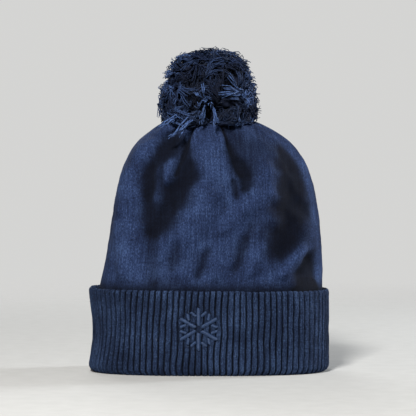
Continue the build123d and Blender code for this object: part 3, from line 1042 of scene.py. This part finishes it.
def assign(piece, material):
    piece.data.materials.clear()
    piece.data.materials.append(material)


def finish_piece(piece, material, body, node, slot):
    """Gives a piece its material and body, and hides the CAD part it stands for. slot is not used."""
    assign(piece, material)
    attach(piece, body)
    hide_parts(node)


# Build the pieces

crown_material = knit_material(
    "crown_jersey", (0.008, 0.012, 0.031), (0.022, 0.038, 0.100), (0.060, 0.103, 0.238),
    WALE_PITCH, COURSE_PITCH, 0.00035, 0.015, 0.95,
)
lining_material = knit_material(
    "lining_jersey", (0.007, 0.012, 0.034), (0.019, 0.034, 0.092), (0.042, 0.074, 0.180),
    WALE_PITCH, COURSE_PITCH, 0.0003, 0.02, 0.6,
)
rib_material = knit_material(
    "rib_knit", (0.005, 0.008, 0.020), (0.018, 0.032, 0.075), (0.056, 0.096, 0.200),
    RIB_WALE, RIB_COURSE, 0.00028, 0.015, 0.97,
)
# The pom's dark, mid and light yarns are one yarn in painted shade, plain and painted light, given out tuft
# by tuft.
satin_material, seam_material, tie_material, core_material, *pom_materials = (
    thread_material(*row) for row in (
        ("satin_thread", (0.012, 0.026, 0.066), (0.028, 0.058, 0.138), 0.42, 0.35, 0.02),
        ("seam_thread", (0.010, 0.016, 0.038), (0.025, 0.038, 0.085), 0.7, 0.25, 0.1),
        ("tie_yarn", (0.010, 0.016, 0.036), (0.028, 0.042, 0.095), 0.85, 0.2, 0.2),
        # the core's yarn is near black as painted shade
        ("pom_core_painted_shade", (0.004, 0.005, 0.010), (0.010, 0.014, 0.030), 0.85, 0.05, 0.02, 500),
        ("pom_yarn_painted_shade", (0.008, 0.013, 0.034), (0.024, 0.044, 0.118), 0.75, 0.10, 0.02, 500, 0.9),
        ("pom_yarn_mid", (0.012, 0.021, 0.054), (0.040, 0.076, 0.190), 0.7, 0.12, 0.02, 500, 0.9),
        ("pom_yarn_painted_light", (0.018, 0.032, 0.082), (0.075, 0.140, 0.330), 0.65, 0.15, 0.03, 500, 0.9),
    )
)
felt_material = plain_weave_material("felt", (0.012, 0.014, 0.022), (0.035, 0.040, 0.058), 300, 0.9)
stabiliser_material = plain_weave_material("stabiliser", (0.42, 0.42, 0.41), (0.66, 0.66, 0.64), 900, 0.9)
label_material = plain_weave_material("label_tape", (0.52, 0.51, 0.48), (0.74, 0.73, 0.70), 1600, 0.6)

crown, *crown_grid = crown_surface("crown_knit", 0.0, 196, 440, 1.0)
lining, *_ = crown_surface("lining_knit", LINING_INSET, 120, 260, 0.88)
cuff = cuff_surface("cuff_rib_knit")
motif = motif_threads("motif_satin_stitches")
label = care_label()
stem_yarn, cap_yarn = tie_loop()
knot = tie_knot()
core = pom_core()

centres, widths, depth, tuft = pom_strands(41)
centres = clear_of_crown(centres)
resting = lies_on_crown(centres)
hanging = [
    hanging_tuft(5, (-18, -40, 231), (-34, -46, 213), 2, 0.9),
    hanging_tuft(6, (-15, -40, 230), (-28, -46, 216), 2, 0.9),
    hanging_tuft(8, (-30, -34, 232), (-41, -38, 224), 3, 1.2),
    hanging_tuft(9, (-3, -38, 240), (-6, -44, 228), 4, 1.8),
    hanging_tuft(10, (5, -38, 241), (7, -45, 226), 4, 1.8),
]
for index, material in enumerate(pom_materials):
    for part, body, wanted in (("strands", "pom", ~resting), ("fringe", "hat", resting)):
        chosen = wanted & (tuft % len(pom_materials) == index)
        strands = [(centres[chosen], widths[chosen], depth[chosen])]
        if index == 2 and part == "fringe":
            strands += hanging
        lines, radii, shade = (np.concatenate(column) for column in zip(*strands))
        layer = tubes_object(f"pom_{part}_{index + 1}", lines, radii, 3, shade)
        finish_piece(layer, material, body, "pom_yarn", "pom_yarn")

seam_lines = [("crown_back_seam", (0.0, 78.0), (0.0, 224.0), 1)]
for front, face in ((-1, "front"), (1, "back")):
    for side, hand in ((-1, "left"), (1, "right")):
        seam_lines.append((f"dart_seam_{face}_{hand}", *dart_ends(side), front))
for node, start, end, front in seam_lines:
    thread = seam_thread(f"{node}_thread", crown_grid, start, end, front)
    finish_piece(thread, seam_material, "hat", node, "seam_thread")

for row in (
    (crown, crown_material, "hat", "crown_shell", "crown_knit"),
    (lining, lining_material, "hat", "crown_lining", "lining_knit"),
    (cuff, rib_material, "hat", "rib_cuff", "rib_knit"),
    (motif, satin_material, "hat", "embroidery_motif", "satin_thread"),
    (label, label_material, "care_label", "care_label", "label_tape"),
    (stem_yarn, tie_material, "pom_tie", "tie_loop", "tie_yarn"),
    (cap_yarn, tie_material, "pom_tie", "tie_loop", "tie_yarn"),
    (knot, tie_material, "pom_tie", "tie_knot", "tie_yarn"),
    (core, core_material, "pom", "pom_yarn", "pom_yarn"),
):
    finish_piece(*row)

for node, material in (
    ("cuff_link_seam", seam_material), ("cuff_back_seam", seam_material),
    ("apex_gather_thread", seam_material), ("apex_backing_disc", felt_material),
    ("embroidery_backing", stabiliser_material), ("care_label_stitches", seam_material),
    ("pom_binding_cord", tie_material),
):
    assign(frame["nodes"][node], material)


# Stage, lights and camera

PALE = (0.66, 0.66, 0.65)
LIGHT_TARGET = (0, 0, 0.14)
FRAME_WIDTH = 382.5 * MM  # how much the camera sees across at the hat
CAMERA_DISTANCE = 1.9
SENSOR_MM = 36


def floor():
    """A pale round floor that fades into the backdrop."""
    bpy.ops.mesh.primitive_circle_add(vertices=128, radius=3.0, fill_type="NGON", location=(0, 0, 0))
    disc = bpy.context.object
    disc.name = "studio_floor"
    paper = new_material("floor_paper")
    grain = paper.ramp(paper.noise(60, 3), (0.3, (0.45, 0.45, 0.44)), (0.7, (0.48, 0.48, 0.47)))
    paper.surface(Base_Color=grain, Roughness=0.9, Specular_IOR_Level=0.1)
    away = paper.node("VectorMath", {0: paper.place()})
    away.operation = "LENGTH"
    fade = paper.node("MapRange", {"Value": away.outputs["Value"], "From Min": 0.35, "From Max": 1.6})
    fade.interpolation_type = "SMOOTHSTEP"
    shader, clear = paper.nodes["Principled BSDF"], paper.node("BsdfTransparent")
    blend = paper.node("MixShader", {0: fade.outputs["Result"], 1: shader.outputs[0], 2: clear.outputs[0]})
    paper.put(paper.nodes["Material Output"], {"Surface": blend.outputs[0]})
    disc.data.materials.append(paper.owner)


def backdrop_light(seen, lit):
    """A pale world behind everything, dimmer as a light than as a backdrop."""
    world = bpy.data.worlds.new("studio")
    bpy.context.scene.world = world
    sky = Tree(world)
    direct = sky.node("LightPath").outputs["Is Camera Ray"]
    strength = sky.node("MapRange", {"Value": direct, "To Min": lit, "To Max": seen}).outputs["Result"]
    sky.put(sky.nodes["Background"], {"Color": PALE, "Strength": strength})


def area_light(name, place, size, power, color=(1, 1, 1)):
    light = bpy.data.lights.new(name, "AREA")
    light.size = size
    light.energy = power
    light.color = color
    aim(put_in_scene(name, light), place, LIGHT_TARGET)


def aim(obj, place, target):
    obj.location = place
    heading = Vector(target) - Vector(place)
    obj.rotation_euler = heading.to_track_quat("-Z", "Y").to_euler()


def camera():
    """Level with the hat's middle, and so far off that there is almost no perspective."""
    data = bpy.data.cameras.new("camera")
    obj = put_in_scene("camera", data)
    data.sensor_width = SENSOR_MM
    data.lens = SENSOR_MM * CAMERA_DISTANCE / FRAME_WIDTH
    target = (-0.6 * MM, 0.0, 149 * MM)
    tilt = radians(1.0)
    back, rise = CAMERA_DISTANCE * cos(tilt), CAMERA_DISTANCE * sin(tilt)
    aim(obj, (target[0], -back, target[2] + rise), target)
    bpy.context.scene.camera = obj


floor()
backdrop_light(1.0, 0.11)
area_light("key", (-0.33, -1.50, 1.32), 0.3, 58, (1.0, 0.985, 0.96))
area_light("rim", (1.35, 0.55, 0.5), 0.35, 24, (0.92, 0.96, 1.0))
area_light("back_fill", (-0.4, 1.6, 1.0), 0.9, 16)
camera()
bpy.context.scene.view_settings.view_transform = "Standard"
